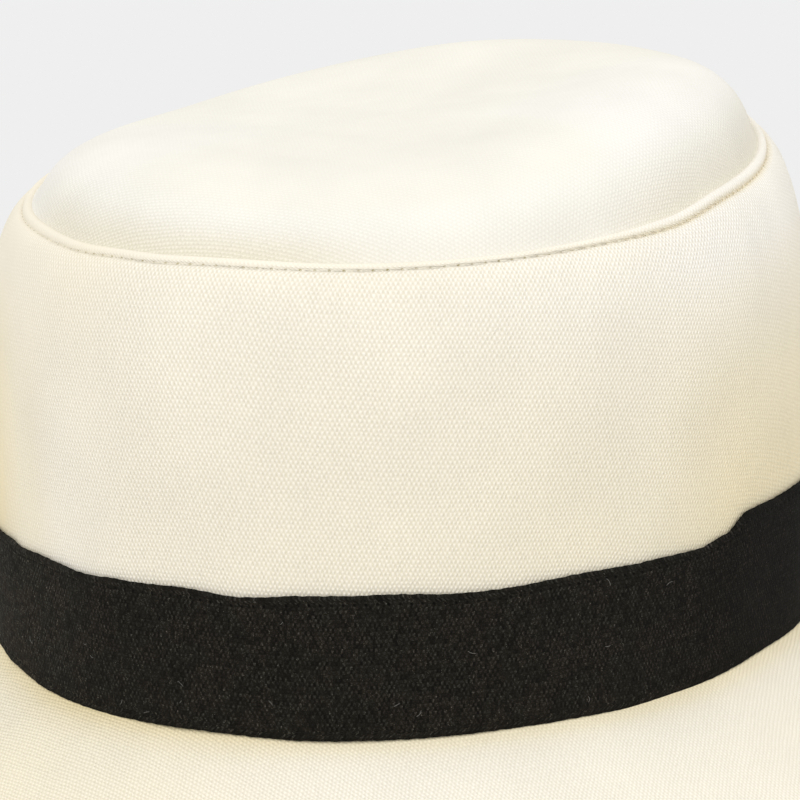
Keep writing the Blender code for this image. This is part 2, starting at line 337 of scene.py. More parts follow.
class HatForm:
    """The form that every piece is laid on, from the frame's boxes, the sizes and the tables above."""

    def __init__(self):
        sizes = settings("sun_hat_sizes")
        self.sizes = sizes
        seam_inset = 2.0 * sizes.fold_radius + sizes.gap
        self.crown = (SIDE_HIGH.y, SIDE_HIGH.x)
        self.seam = (TIP_HIGH.y + seam_inset, TIP_HIGH.x + seam_inset)
        self.hem = (BRIM_HIGH.y, BRIM_HIGH.x)
        self.wall_foot = SIDE_LOW.z
        self.band_foot = BAND_LOW.z
        self.brim_inset = sizes.canvas + sizes.gap
        self.brim_reach = self.hem[1] - sizes.hem_width - (self.crown[1] - self.brim_inset)
        self.brim_drop = self.brim_reach * math.tan(sizes.brim_slope)

    def rim(self, turn):
        """Level of the tip seam: side height, lower in front, higher at the back and at both ends."""
        sizes = self.sizes
        level = self.band_foot + sizes.side_height - sizes.back_rise * np.cos(turn)
        level = level + sizes.end_rise * np.cos(2.0 * turn)
        return level + MM * round_the_hat(SEAM_WANDER, "rise", turn)

    def flare(self, share):
        """How far out the side stands at a share of its height: the seam's oval is 0 and the foot's 1.

        It falls as (1 - share to the 5th) to the 0.55th, less a slight waist below the middle.
        """
        share = np.clip(share, 0.0, 1.0)
        waist = 0.035 * np.sin(math.pi * np.minimum(share / 0.75, 1.0))
        return (1.0 - share ** 5) ** 0.55 - waist

    def soft_swell(self, turn, share):
        """Gentle unevenness of the side, outwards: low sine waves that die out at the seam.

        Where the seam puckers, a finer sine wave stands below it and fades down the side.
        """
        wave = sum(size * np.sin(waves * turn + drift * share + start)
                   for size, waves, drift, start in SIDE_WAVES)
        ripple = 0.6 * np.sin(PUCKER_WAVES * turn + 2.0 * np.sin(11.0 * turn))
        ripple = ripple * np.exp(-(1.0 - share) / PUCKER_FADE) * round_the_hat(SEAM_ROWS, "pucker", turn)
        return MM * (wave * (1.0 - share ** 3) + ripple * (1.0 - share ** 12))

    def swell(self, turn, share):
        """How far the hat is pushed out of true at a share of the side's height.

        It goes from foot to seam with the share to the 3rd, and half a sine wave adds the middle's.
        """
        foot, middle, seam = round_the_hat(SWELL_ROWS, "foot middle seam", turn)
        share = np.clip(share, 0.0, 1.0)
        straight = foot + share ** 3 * (seam - foot)
        return MM * (straight + (middle - foot) * np.sin(math.pi * share))

    def on_seam(self, turn, outward, level):
        """Points beside the tip seam's oval, at a level."""
        return oval(*self.seam, turn, outward + self.swell(turn, 1.0), level)

    def side(self, turn, share, outward=0.0):
        """Points on the side's outer face at a share of its height, pushed outwards by a distance."""
        flare = self.flare(share)
        half_length = self.seam[0] + flare * (self.crown[0] - self.seam[0])
        half_width = self.seam[1] + flare * (self.crown[1] - self.seam[1])
        foot = self.wall_foot + self.foot_wander(turn)
        level = foot + share * (self.rim(turn) - foot)
        outward = outward + self.soft_swell(turn, share) + self.swell(turn, share)
        return oval(half_length, half_width, turn, outward, level)

    def share_at(self, turn, level):
        """The share of the side's height at a level."""
        foot = self.wall_foot + self.foot_wander(turn)
        return (level - foot) / (self.rim(turn) - foot)

    def foot_wander(self, turn):
        """How far the band's lower edge, and the brim under it, wander from level."""
        return MM * round_the_hat(BAND_FOOT_WANDER, "rise", turn)

    def hem_lift(self, turn):
        """Height of the hem over the floor: three waves, with flat stretches where the brim rests."""
        wave = (1.0 - np.cos(3.0 * turn)) / 2.0
        share = np.maximum(wave - 0.25, 0.0) / 0.75
        return self.sizes.brim_lift * share * share * (3.0 - 2.0 * share)

    def tip_edge(self, turn):
        """Level of the tip's edge on the rolled seam: the roll's height x sine, less the press."""
        meet, roll = round_the_hat(SEAM_ROWS, "meet roll", turn)
        return self.rim(turn) + MM * roll * np.sin(np.radians(meet)) - TIP_PRESS

    def tip_level(self, reach, turn):
        """Level of the tip from its middle, reach 0, to its edge, reach 1.

        It is the seam's slant plus puff x fall x shape x start. The fall mixes a soft shoulder, 1 - reach
        to the 7th, with a steeper one. The shape makes some parts fuller than the front. The start eases
        the puff in from the seam. A bell at the edge then brings the level to the roll, and faint
        dimples, as products of sines, lie over the middle.
        """
        sizes = self.sizes
        slant = self.band_foot + sizes.side_height + sizes.fold_radius / 2.0
        slant = slant - sizes.back_rise * reach * np.cos(turn)
        slant = slant + sizes.end_rise * reach ** 2 * np.cos(2.0 * turn)
        lean = reach * (0.70 * np.sin(turn) + 0.29 * np.cos(turn))
        shoulder = 0.92 * reach ** 2 + lean - 0.25 * reach ** 3 * np.sin(3.0 * turn)
        front = (0.5 + 0.5 * np.cos(turn - math.radians(25.0))) ** 4
        shape = 1.0 + shoulder * (1.0 - 0.85 * front)
        steep = round_the_hat(TIP_ROWS, "steep", turn)
        fall = (1.0 - steep) * (1.0 - reach ** 7) + steep * (1.0 - reach ** 5) ** 0.6
        start = 1.0 - np.exp(-((1.0 - reach) / TIP_START) ** 1.3)
        level = slant + sizes.puff * fall * shape * start
        plain_rim = self.rim(turn) - MM * round_the_hat(SEAM_WANDER, "rise", turn)
        edge = self.tip_edge(turn) - (plain_rim + sizes.fold_radius / 2.0)
        across, along = reach * np.sin(turn), -reach * np.cos(turn)
        wave = np.sin(9.0 * across + 5.0 * along + 1.0) * np.sin(7.0 * along - 4.0 * across + 2.0)
        wave = wave + 0.6 * np.sin(15.0 * along + 3.0 * across) * np.sin(6.0 * across + 1.0)
        level = level + TIP_DIMPLE * wave * (1.0 - reach ** 6)
        return level + edge * bell(1.0 - reach, TIP_EDGE_BLEND)


def running_length(points, axis):
    """Distance along a grid of points from its first row or column."""
    steps = np.linalg.norm(np.diff(points, axis=axis), axis=-1)
    start = np.zeros_like(np.take(steps, [0], axis=axis))
    return np.cumsum(np.concatenate([start, steps], axis=axis), axis=axis)


def face_normals(points):
    """Unit normals of a grid that closes round the hat: column direction crossed with row direction."""
    along_row = np.roll(points, -1, axis=1) - np.roll(points, 1, axis=1)
    up_column = np.gradient(points, axis=0)
    return unit(np.cross(along_row, up_column))


def rounded_edge(front, back, outwards):
    """Rows of a half circle that joins the front face's last row to the back face's.

    Its middle is half way between them. A point is cosine x half the gap, plus sine x its size outwards.
    """
    half = (front - back) / 2.0
    size = np.linalg.norm(half, axis=-1, keepdims=True)
    swing = np.linspace(0.0, math.pi, EDGE_ROWS + 2)[1:-1, None, None]
    return (front + back) / 2.0 + np.cos(swing) * half + np.sin(swing) * size * outwards


def two_faced(points, thickness, closed=True, normals=None):
    """A cloth of a thickness under a grid of points, as one run of rows.

    The rows are the front face, a rounded edge, the back face in reverse and a second rounded edge.
    Without closed, both faces meet in a pole instead: back face first, then an edge, then the front face.
    """
    back = points - thickness * (face_normals(points) if normals is None else normals)
    foot_edge = rounded_edge(back[0], points[0], unit(points[0] - points[1]))
    if not closed:
        return np.concatenate([back[::-1], foot_edge, points])
    head_edge = rounded_edge(points[-1], back[-1], unit(points[-1] - points[-2]))
    return np.concatenate([points, head_edge, back[::-1], foot_edge])


def follow_faces(layer, closed=True):
    """Map coordinates for the rows that two_faced makes, one row more where the rows close."""
    foot = np.repeat(layer[:1], EDGE_ROWS, axis=0)
    if not closed:
        return np.concatenate([layer[::-1], foot, layer])
    head = np.repeat(layer[-1:], EDGE_ROWS, axis=0)
    return np.concatenate([layer, head, layer[::-1], foot, layer[:1]])


def put_mesh(name, points, faces, layers, material):
    """A smooth mesh object from points, faces and a map coordinate for each corner."""
    mesh = bpy.data.meshes.new(name)
    mesh.from_pydata(points.tolist(), [], faces)
    for layer_name, corners in layers.items():
        layer = mesh.uv_layers.new(name=layer_name)
        layer.uv.foreach_set("vector", np.ascontiguousarray(corners, dtype=np.float32).ravel())
    mesh.shade_smooth()
    mesh.set_sharp_from_angle(angle=SHARP_EDGE)
    mesh.materials.append(material)
    mesh.update()
    piece = bpy.data.objects.new(name, mesh)
    bpy.context.scene.collection.objects.link(piece)
    return piece


def cloth_object(name, points, layers, material, poles=False):
    """A closed cloth from a grid whose columns close round the hat.

    Its rows close too, or with poles its first and last rows shrink to one point each. The map layers
    have one more column than the grid, so that the weave ends in a seam at the back.
    """
    rows, columns = points.shape[:2]
    row = np.arange(rows - 1 if poles else rows)[:, None]
    column = np.arange(columns)[None, :]
    corners = [(0, 0), (0, 1), (1, 1), (1, 0)]
    faces = np.stack([(row + up) % rows * columns + (column + side) % columns for up, side in corners],
                     axis=-1)
    mapped = {key: np.stack([layer[row + up, column + side] for up, side in corners], axis=2)
              for key, layer in layers.items()}
    keep = np.ones(rows * columns, bool)
    parts = [(slice(None), [0, 1, 2, 3])]
    if poles:
        faces[0, :, 0] = 0
        faces[-1, :, 2] = (rows - 1) * columns
        keep[1:columns] = False
        keep[(rows - 1) * columns + 1:] = False
        parts = [(slice(1), [0, 2, 3]), (slice(1, -1), [0, 1, 2, 3]), (slice(-1, None), [0, 1, 2])]
    faces = (np.cumsum(keep) - 1)[faces]
    made = []
    for part, picked in parts:
        made += faces[part][..., picked].reshape(-1, len(picked)).tolist()
    corner_maps = {
        key: np.concatenate([full[part][:, :, picked].reshape(-1, 2) for part, picked in parts])
        for key, full in mapped.items()}
    return put_mesh(name, points.reshape(-1, 3)[keep], made, corner_maps, material)


def ring_quads(rings, sides):
    """Corner numbers of the quads between rings of points, each ring closed and beyond the last."""
    ring = np.arange(rings - 1)[:, None] * sides
    place = np.arange(sides)[None, :]
    beyond = (place + 1) % sides
    return np.stack([ring + place, ring + sides + place, ring + sides + beyond, ring + beyond], axis=-1)


# A thread is full a ninth of its length in from each end, and its strands stand out by this share.
THREAD_TAPER = 9.0
STRAND_SWELL = 0.22


def thread_object(name, paths, normals, radius, material, sides=8, twist=0.0):
    """Many short threads in one mesh, each a tube round its own path that ends in a point both ways.

    A tube's ring is its radius x (cosine of the way round x side + sine x normal). A twist, in turns
    from end to end, gives it two strands by swelling the radius at opposite sides.
    """
    count, rings = paths.shape[:2]
    along = unit(np.gradient(paths, axis=1))
    side = unit(np.cross(along, normals))
    lift = np.cross(side, along)
    around = np.linspace(0.0, ROUND, sides, endpoint=False)
    run = np.linspace(0.0, 1.0, rings)
    taper = np.minimum(np.minimum(run, 1.0 - run) * THREAD_TAPER, 1.0) ** 0.5
    strand = np.cos(2.0 * (around[None, :] - ROUND * twist * run[:, None])) * bool(twist)
    strand = 1.0 + STRAND_SWELL * strand
    size = (radius * taper[:, None] * strand)[None, :, :, None]
    ring = paths[:, :, None, :] + size * (np.cos(around)[None, None, :, None] * side[:, :, None, :]
                                          + np.sin(around)[None, None, :, None] * lift[:, :, None, :])
    ends = np.stack([paths[:, 0], paths[:, -1]], axis=1)
    points = np.concatenate([ring[:, 1:-1].reshape(-1, 3), ends.reshape(-1, 3)])
    rings = rings - 2
    start = (np.arange(count) * rings * sides)[:, None]
    quads = start[:, :, None, None] + ring_quads(rings, sides)
    place = np.arange(sides)[None, :]
    beyond = (place + 1) % sides
    tips = count * rings * sides + 2 * np.arange(count)[:, None]
    last = start + (rings - 1) * sides
    fans = ((tips, start + place, start + beyond), (tips + 1, last + beyond, last + place))
    caps = [np.stack(np.broadcast_arrays(*corners), axis=-1).reshape(-1, 3) for corners in fans]
    faces = quads.reshape(-1, 4).tolist() + np.concatenate(caps).tolist()
    return put_mesh(name, points, faces, {}, material)


class Shader:
    """Adds nodes to one material. An input is a plain value or another node's output."""

    def __init__(self, name):
        self.material = bpy.data.materials.new(name)
        self.material.use_nodes = True
        self.tree = self.material.node_tree
        self.tree.nodes.clear()

    def add(self, kind, inputs=None, **choices):
        """A node of a kind, with its choices set and its inputs set or linked."""
        node = self.tree.nodes.new(kind)
        for key, value in choices.items():
            setattr(node, key, value)
        for key, value in (inputs or {}).items():
            if isinstance(value, bpy.types.NodeSocket):
                self.tree.links.new(value, node.inputs[key])
            else:
                node.inputs[key].default_value = value
        return node

    def math(self, operation, *values):
        """The result of a Math node."""
        return self.add("ShaderNodeMath", dict(enumerate(values)), operation=operation).outputs[0]

    def times(self, first, second):
        """The product of two values."""
        return self.math("MULTIPLY", first, second)

    def scaled(self, value, factor, start):
        """A value times a factor, plus a start."""
        return self.math("MULTIPLY_ADD", value, factor, start)

    def less(self, value, taken):
        """A value with another taken away."""
        return self.math("SUBTRACT", value, taken)

    def away_from(self, along, across):
        """Distance from a point: the square root of the sum of both squares."""
        return self.math("SQRT", self.math("ADD", self.math("POWER", along, 2.0),
                                           self.math("POWER", across, 2.0)))

    def mix(self, share, first, second, blend="MIX", beyond=False):
        """A mix of two colours. With beyond, a share past 0 or 1 goes on past the two."""
        return self.add("ShaderNodeMix", {0: share, 6: first, 7: second}, data_type="RGBA",
                        blend_type=blend, clamp_factor=not beyond).outputs[2]

    def tinted(self, tint, other):
        """Two colours multiplied."""
        return self.mix(1.0, tint, other, "MULTIPLY")

    def brightened(self, tint, light):
        """A colour times a plain number."""
        grey = self.add("ShaderNodeCombineColor", {0: light, 1: light, 2: light}).outputs[0]
        return self.tinted(tint, grey)

    def ramp(self, value, low, high):
        """A value's smooth share of the way from low to high."""
        return self.add("ShaderNodeMapRange", {"Value": value, "From Min": low, "From Max": high},
                        interpolation_type="SMOOTHSTEP").outputs["Result"]

    def noise(self, vector, scale, detail=2.0, roughness=0.5, dimensions="2D"):
        """A noise node: its first output is the value and "Color" holds three more."""
        return self.add("ShaderNodeTexNoise", {"Vector": vector, "Scale": scale, "Detail": detail,
                                               "Roughness": roughness}, noise_dimensions=dimensions)

    def chance(self, vector, dimensions="2D"):
        """A fixed random number for each whole-number place."""
        key = "W" if dimensions == "1D" else "Vector"
        return self.add("ShaderNodeTexWhiteNoise", {key: vector}, noise_dimensions=dimensions).outputs[0]

    def parts(self, vector):
        """The first two parts of a vector or colour."""
        node = self.add("ShaderNodeSeparateXYZ", {0: vector})
        return node.outputs[0], node.outputs[1]

    def layer(self, name):
        """A map layer, and its two coordinates."""
        vector = self.add("ShaderNodeUVMap", uv_map=name).outputs[0]
        return vector, *self.parts(vector)

    def surface(self, colour, height, depth, roughness, specular):
        """Ends the material in a Principled shader with a bump of a real depth."""
        bump = self.add("ShaderNodeBump", {"Strength": 1.0, "Distance": depth, "Height": height})
        shader = self.add("ShaderNodeBsdfPrincipled", {"Base Color": colour, "Roughness": roughness,
                                                       "Normal": bump.outputs[0]})
        shader.inputs["Specular IOR Level"].default_value = specular
        self.add("ShaderNodeOutputMaterial", {"Surface": shader.outputs[0]})
        return self.material


def opaque(values):
    """A colour with full alpha."""
    return (*values, 1.0)


# Drifts of a weave: scale of the noise, and how far it moves a thread in metres.
WEAVE_DRIFTS = [(90.0, 0.0006), (700.0, 0.00034)]
# Scales of the other noises: lumps on a weave, the canvas's blotches and fibres, the band's patches and
# grain, and the specks of a sewing thread.
ROUGH_SCALE = 1500.0
BLOTCH_SCALE = 45.0
FIBRE_SCALE = 9000.0
PATCH_SCALE = 110.0
GRAIN_SCALE = 3600.0
THREAD_SPECKS = 6000.0
WHITE = (1.0, 1.0, 1.0, 1.0)


def plain_weave(shader, column_pitch, row_pitch, parting=0.3):
    """A plain weave on the piece's cloth map: the map, its height, about -1.5 to 1.5, and random numbers.

    The height is a sine across times a sine along, half a wave to each thread, so lumps and hollows form
    a chequer. A cosine, one wave to each row, parts the rows. A lump is higher or lower by its random
    number, and drifts of both coordinates make the weave uneven.
    """
    place, x, y = shader.layer("Cloth")
    for scale, reach in WEAVE_DRIFTS:
        drift_x, drift_y = shader.parts(shader.noise(place, scale, 1.0).outputs["Color"])
        x = shader.scaled(shader.less(drift_x, 0.5), reach, x)
        y = shader.scaled(shader.less(drift_y, 0.5), reach, y)
    u = shader.math("DIVIDE", x, column_pitch)
    v = shader.math("DIVIDE", y, row_pitch)
    square = {"X": shader.math("FLOOR", u), "Y": shader.math("FLOOR", v)}
    crossing = shader.chance(shader.add("ShaderNodeCombineXYZ", square).outputs[0])
    wave = shader.times(shader.math("SINE", shader.times(u, math.pi)),
                        shader.math("SINE", shader.times(v, math.pi)))
    wave = shader.times(wave, shader.scaled(crossing, 0.4, 0.8))
    rough = shader.noise(place, ROUGH_SCALE, 1.0).outputs[0]
    wave = shader.math("ADD", wave, shader.scaled(rough, 0.4, -0.2))
    # Painted shade: the row parting, shifted a little, darkens each lump's lower side where the height
    # sets the colour; it also makes the bump.
    row_wave = shader.math("COSINE", shader.scaled(v, ROUND, -0.6))
    return place, shader.scaled(row_wave, -parting, wave), crossing


def canvas_material(place, shade_tint="shade_tint", parting=0.18, seam=False):
    """Cream canvas: pale rounded threads over darker hollows painted as shade, faint blotches and fibres.

    The painted light map says how pale the cloth is, from the shade tint, 0, painted shade, to its own
    colour, 1, or past them, painted light, and how plainly its weave shows. With a seam map, a small
    dark mark of painted shade sits at each needle hole.
    """
    weave, stitches = settings("sun_hat_weave"), settings("sun_hat_stitches")
    colours = settings("sun_hat_colours")
    thread, hollow, shade_tint = (opaque(getattr(colours, key)) for key in (place, place + "_gap", shade_tint))
    shader = Shader(place.capitalize() + " canvas")
    place, height, _ = plain_weave(shader, weave.canvas_column, weave.canvas_row, parting)
    _, paleness, plainness = shader.layer("PaintedLight")
    share = shader.scaled(shader.less(shader.ramp(height, -0.9, 0.9), 0.5), plainness, 0.5)
    blotch = shader.noise(place, BLOTCH_SCALE, 3.0).outputs[0]
    fibres = shader.noise(place, FIBRE_SCALE, 1.0).outputs[0]
    height = shader.times(shader.scaled(fibres, 0.25, height), plainness)
    # Painted shade in the hollows between and below the threads.
    tint = shader.mix(share, hollow, thread)
    tint = shader.brightened(tint, shader.scaled(blotch, 0.10, 0.95))
    # Painted light and shade: below 1 the paleness tints the canvas towards the shade tint, above 1 it
    # brightens it past its own colour.
    tint = shader.tinted(tint, shader.mix(paleness, shade_tint, WHITE, beyond=True))
    if seam:
        # Painted shade: a dark mark in the pit at each needle hole.
        _, number_along, off_line = shader.layer("Seam")
        nearest = shader.less(shader.math("FRACT", shader.math("ADD", number_along, 0.5)), 0.5)
        away = shader.away_from(shader.times(nearest, stitches.tip_stitch), off_line)
        hole = shader.ramp(away, stitches.hole * 0.8, stitches.hole * 0.35)
        strength = shader.scaled(shader.chance(shader.math("ROUND", number_along), "1D"), 0.6, 0.4)
        tint = shader.mix(shader.times(hole, strength), tint, opaque(colours.needle_hole_shade))
        height = shader.scaled(hole, -1.0, height)
    return shader.surface(tint, height, weave.canvas_relief, 0.9, 0.2)


BAND_GREENISH = (0.99, 1.01, 0.98, 1.0)
BAND_REDDISH = (1.05, 0.99, 0.98, 1.0)


def band_material(name):
    """Black cloth: fine lumps with small grey painted glints, faint patches and dark needle holes of
    painted shade with pale rims.

    The painted light map says how light the cloth is, as painted sheen and shade round the hat, and its
    share of the way up the band.
    """
    weave, stitches = settings("sun_hat_weave"), settings("sun_hat_stitches")
    colours = settings("sun_hat_colours")
    shader = Shader(name)
    place, height, crossing = plain_weave(shader, weave.band_column, weave.band_row)
    _, shine, up = shader.layer("PaintedLight")
    grain = shader.noise(place, GRAIN_SCALE, 2.0, 0.7).outputs[0]
    height = shader.scaled(shader.less(grain, 0.5), 5.5, shader.times(height, 0.8))
    # Painted shade in the hollows between the band's threads.
    tint = shader.mix(shader.ramp(height, -0.5, 1.7), opaque(colours.band_gap), opaque(colours.band))
    patches = shader.noise(place, PATCH_SCALE, 3.0).outputs[0]
    tint = shader.tinted(tint, shader.mix(shader.ramp(patches, 0.42, 0.58), BAND_GREENISH, BAND_REDDISH))
    # Painted glints: rare crossings lit up as small grey flecks.
    painted_glint = shader.times(shader.ramp(grain, 0.64, 0.80), shader.math("POWER", crossing, 4.0))
    light = shader.math("ADD", shader.scaled(crossing, 1.0, 0.42), shader.times(painted_glint, 9.0))
    light = shader.times(light, shader.scaled(patches, 0.4, 0.8))
    half = settings("sun_hat_sizes").band_height / 2.0
    off_line = shader.less(shader.math("ABSOLUTE", shader.scaled(up, 2.0 * half, -half)),
                           half - stitches.band_margin)
    along = shader.math("FRACT", shader.math("DIVIDE", shader.parts(place)[0], stitches.band_stitch))
    away = shader.away_from(shader.times(shader.less(along, 0.5), stitches.band_stitch), off_line)
    hole = shader.ramp(away, stitches.hole * 0.8, stitches.hole * 0.4)
    rim = shader.less(shader.ramp(away, stitches.hole * 1.8, stitches.hole), hole)
    # Painted shade: the needle holes darken the band's light.
    light = shader.times(light, shader.scaled(hole, -0.75, 1.0))
    light = shader.times(light, shader.scaled(rim, 0.35, 1.0))
    height = shader.scaled(hole, -2.0, height)
    # Painted sheen and shade round the hat, from the painted light map, scale the band's colour.
    tint = shader.brightened(tint, shader.times(light, shine))
    return shader.surface(tint, height, weave.band_relief, 0.95, 0.1)


def speckled_material(name, tint, darkest, scale, depth, roughness, specular, thread=False):
    """A plain finish with fine specks, from a darker share of the tint to the tint itself.

    A sewing thread's specks are finer in themselves and more sharply parted.
    """
    shader = Shader(name)
    place = shader.add("ShaderNodeTexCoord").outputs["Object"]
    specks = shader.noise(place, scale, 2.0 if thread else 1.0, dimensions="3D").outputs[0]
    share = shader.ramp(specks, 0.3, 0.7) if thread else specks
    shade = shader.mix(share, opaque([c * darkest for c in tint]), opaque(tint))
    return shader.surface(shade, specks, depth, roughness, specular)


def thread_material(name, tint):
    """Sewing thread with fine fibres."""
    return speckled_material(name, tint, 0.8, THREAD_SPECKS, 0.00003, 0.9, 0.1, thread=True)


def with_last_column(points):
    """A grid with its first column repeated at the end."""
    return np.concatenate([points, points[:, :1]], axis=1)


def two_value_map(first, second):
    """A map layer of two values for each point of a grid that closes round the hat."""
    return with_last_column(np.stack(np.broadcast_arrays(first, second), axis=-1))


# The side's panel turns by a share of its way round the hat. It starts this many degrees off the back.
SIDE_CUT_TURN = 0.20
SIDE_CUT_START = 13.0


def side_map(points):
    """Cloth map of the side: an arc-shaped panel, as a cone unrolls.

    A point is (radius x sine, minus radius x cosine) of its angle in the panel, which is a fifth of
    its way round the hat. The radius falls by the distance up the side.
    """
    closed = with_last_column(points)
    round_way = running_length(closed, 1)
    whole = round_way[:, -1:]
    up = running_length(closed, 0).mean(axis=1, keepdims=True)
    way = ROUND * (round_way / whole - 0.5) - math.radians(SIDE_CUT_START)
    panel_turn = SIDE_CUT_TURN * way
    middle = len(points) // 3
    radius = whole[middle, 0] / (ROUND * SIDE_CUT_TURN) - (up - up[middle])
    return np.stack([radius * np.sin(panel_turn), -radius * np.cos(panel_turn)], axis=-1)


def plan_map(points, bearing):
    """Cloth map of a piece that spreads from the hat's axis, with its last row nearest the axis.

    A point's direction is the one seen from above, and its distance is the way along the cloth. The
    map is turned so that the rows' own normal lies along a bearing in degrees from +X.
    """
    closed = with_last_column(points)
    flat = np.linalg.norm(closed[..., :2], axis=-1)
    way = running_length(closed, 0)
    share = (way[-1:] - way + flat[-1:]) / np.maximum(flat, 1e-6)
    x, y = closed[..., 0] * share, closed[..., 1] * share
    row_way, column_way = math.radians(bearing), math.radians(bearing - 90.0)
    return np.stack([x * math.cos(column_way) + y * math.sin(column_way),
                     x * math.cos(row_way) + y * math.sin(row_way)], axis=-1)


def seam_length(form, turn):
    """Distance along the tip seam at each column, and once more where it closes."""
    return running_length(with_last_column(form.on_seam(turn, 0.0, form.rim(turn))), 1)


def seam_stitches(form):
    """How many stitches go round the tip seam."""
    whole = seam_length(form, columns_round(SIDE_COLUMNS))[0, -1]
    return round(float(whole) / settings("sun_hat_stitches").tip_stitch)


def seam_numbers(form, turn):
    """Stitch number at each column of the tip seam, from 0 at the back to the whole count."""
    way = seam_length(form, turn)
    return seam_stitches(form) * way / way[:, -1:]


# The stitched groove sinks inwards and down by these shares of its depth.
GROOVE_LEAN = (0.70, 0.71)
GROOVE_WIDTH = 0.6 * MM


def groove_depth(form, turn, off_line):
    """Depth of the stitched groove off the seam line: a bell, deeper near each needle hole."""
    groove, pucker = round_the_hat(SEAM_ROWS, "groove pucker", turn)
    number_along = seam_numbers(form, turn)[:, :-1]
    pull = pucker * np.cos(ROUND * number_along)
    return MM * (groove + 0.35 * pull) * bell(off_line, GROOVE_WIDTH)


def side_cloth(form):
    """Rows of the side's outer face: the wall, the roll along the seam and the cloth turned in below it.

    The roll is (minus half width x (1 - cosine), height x sine) of half a turn. With the rows come their
    angles, each point's distance from the seam line and each row's share of the side's height.
    """
    sizes = form.sizes
    turn = columns_round(SIDE_COLUMNS)
    # Even rows up to 84 % of the height, then closer and closer ones up to the seam.
    low = np.linspace(0.0, 0.84, 30, endpoint=False)
    high = 1.0 - 0.16 * (1.0 - np.linspace(0.0, 1.0, 24)) ** 1.9
    share = np.concatenate([low, high])[:, None]
    rim = form.rim(turn)
    spread = (form.crown[0] + form.crown[1] - form.seam[0] - form.seam[1]) / 2.0
    off_line = -np.hypot(form.flare(share) * spread, (1.0 - share) * sizes.side_height)
    depth = groove_depth(form, turn, off_line)
    wall = form.side(turn, share, -depth * GROOVE_LEAN[0])
    wall[..., 2] -= depth * GROOVE_LEAN[1]
    swing = math.pi * steps(15, 1)
    roll, wide = (MM * size for size in round_the_hat(SEAM_ROWS, "roll wide", turn))
    roll_off_line = swing * (wide + roll) / 2.0
    roll_depth = groove_depth(form, turn, roll_off_line)
    outward = -wide * (1.0 - np.cos(swing)) - roll_depth * GROOVE_LEAN[0]
    level = rim + roll * np.sin(swing) - roll_depth * GROOVE_LEAN[1]
    crest = form.on_seam(turn, outward, level)
    leg = form.on_seam(turn, -2.0 * wide, rim - steps(4, 1) * sizes.tip_turn)
    points = np.concatenate([wall, crest, leg])
    far = np.ones((len(leg), turn.shape[1]))
    distance = np.concatenate([np.broadcast_to(off_line, depth.shape),
                               np.broadcast_to(roll_off_line, crest.shape[:2]), far])
    beyond = np.ones((len(points) - len(share), 1))
    return turn, points, distance, np.concatenate([share, beyond])


ROLL_FADE = 1.2 * MM
GROOVE_SHADE_WIDTH = 0.9 * MM


def make_side(form):
    """The crown's side, with painted light towards its top and on the roll, barer on the roll, and with
    painted shade in the puckered groove.
    """
    turn, points, distance, share = side_cloth(form)
    low, high, plain, bare = round_the_hat(PALE_ROWS, "low high plain bare", turn)
    pucker, marks = round_the_hat(SEAM_ROWS, "pucker marks", turn)
    rolled = np.clip(distance / ROLL_FADE, 0.0, 1.0)
    groove_shade = pucker * bell(distance, GROOVE_SHADE_WIDTH)
    # Painted light and shade: paleness by height and angle, raised on the roll as a painted highlight and
    # lowered in the puckered groove as painted shade.
    paleness = low + (high - low) * np.minimum(1.3 * share ** 3, 1.0)
    paleness = (paleness + (high - paleness) * rolled) * (1.0 - np.minimum(1.3 * groove_shade, 0.8))
    numbers = np.broadcast_to(seam_numbers(form, turn), (len(points), turn.shape[1] + 1))
    hidden = 0.6 * MM * (1.0 - marks) * np.sign(distance + 1e-9)
    seam_map = np.stack([numbers, with_last_column(distance + hidden)], axis=-1)
    layers = {"Cloth": follow_faces(side_map(points)), "Seam": follow_faces(seam_map),
              "PaintedLight": follow_faces(two_value_map(paleness, plain * (1.0 - bare * rolled)))}
    cloth = two_faced(points, form.sizes.canvas)
    return cloth_object("crown_side_cloth", cloth, layers, canvas_material("side", seam=True))


TIP_VALLEY = 4.5 * MM
TIP_VALLEY_WEAVE = 8.0 * MM
TIP_SHADE_START = 11.0 * MM
TIP_MIDDLE = 65.0 * MM
TIP_MIDDLE_SHADE = 0.26
# Painted shade: the tip's rows are parted more strongly, darkening the threads' lower sides.
TIP_PARTING = 0.7


def tip_painted_light(form, turn, reach):
    """Painted light map of the tip's upper face: how little painted shade it has and how plainly its
    weave shows.

    The painted shade is a bell beside the seam, plus the middle's, which evens out round the hat
    further in.
    """
    inside = (1.0 - reach) * form.seam[1] + 0.0 * turn
    deep, middle = round_the_hat(VALLEY_ROWS, "deep middle", turn)
    spread = np.clip(inside / TIP_MIDDLE, 0.0, 1.0) ** 2
    middle = (1.0 - spread) * middle + TIP_MIDDLE_SHADE * spread
    shade = deep * bell(inside, TIP_VALLEY)
    shade = shade + middle * np.clip(inside / TIP_SHADE_START, 0.0, 1.0) ** 1.5
    plainness = 0.2 + 0.9 * deep * bell(inside, TIP_VALLEY_WEAVE)
    return two_value_map(1.0 - shade, plainness)


